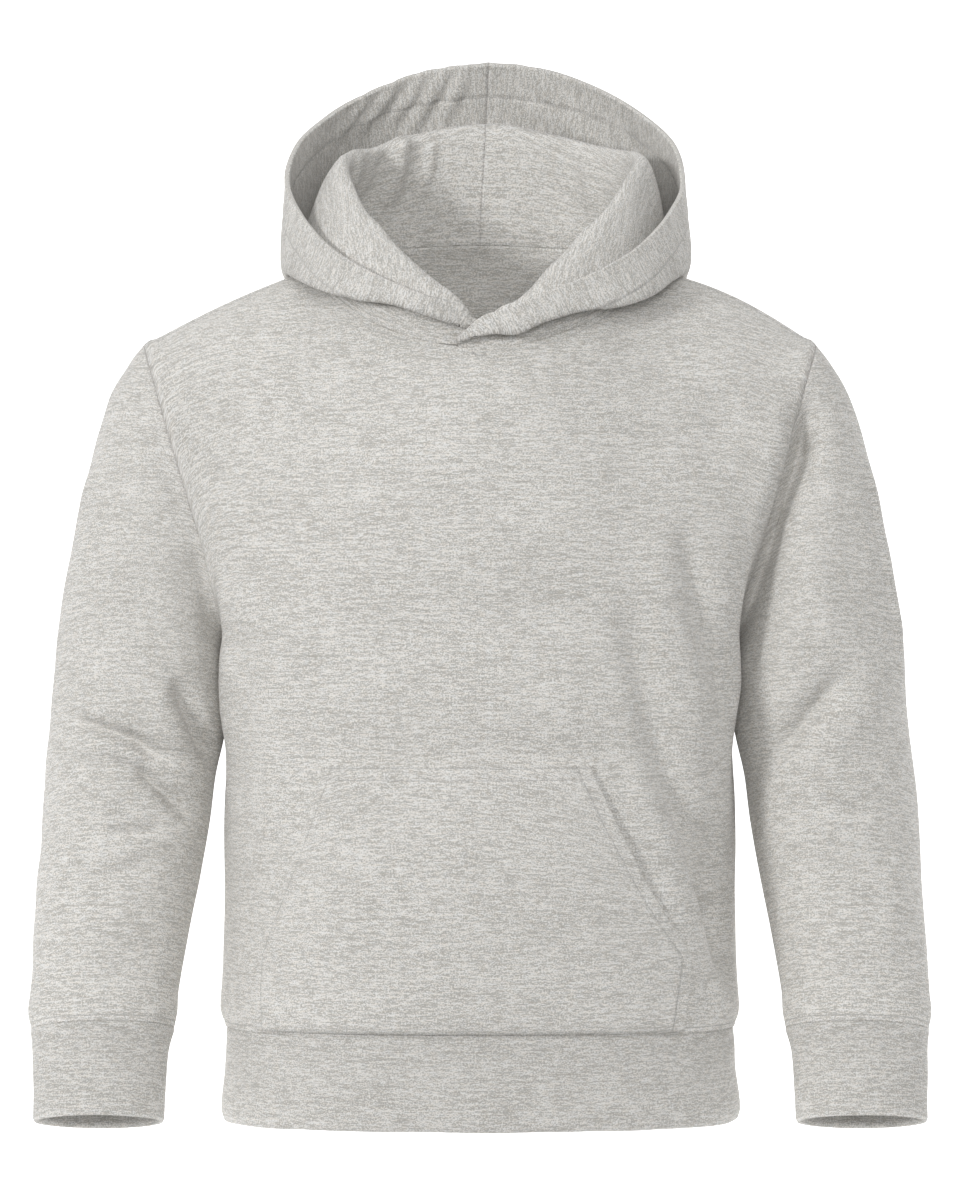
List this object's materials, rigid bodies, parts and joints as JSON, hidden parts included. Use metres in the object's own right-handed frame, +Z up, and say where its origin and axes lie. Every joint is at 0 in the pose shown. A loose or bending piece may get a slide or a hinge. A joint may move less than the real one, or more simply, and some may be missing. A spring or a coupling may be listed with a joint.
{
  "type": "toddler pullover hoodie",
  "caption": "Toddler's fleece pullover hoodie in its worn shape, with an unlined hood lying open behind, set-in sleeves, fitted cuffs and waistband of the same cloth, and a kangaroo pocket.",
  "frame": {"origin": "middle of the neck, level with the inner ends of the shoulder seams, where a wearer's neck and shoulders carry the garment", "axes": "-Y is the garment's front, +X the wearer's left, +Z up"},
  "size_m": [0.4294, 0.2063, 0.5172],
  "materials": {
    "fleece": "heather grey sweatshirt fleece, matt",
    "band": "heather grey sweatshirt fleece, doubled, matt"
  },
  "bodies": {
    "root": {"front_panel": "fleece", "back_panel": "fleece", "waistband": "band", "sleeve_left": "fleece", "sleeve_right": "fleece", "cuff_left": "band", "cuff_right": "band", "hood_left": "fleece", "hood_right": "fleece", "kangaroo_pocket": "fleece"}
  },
  "joints": []
}
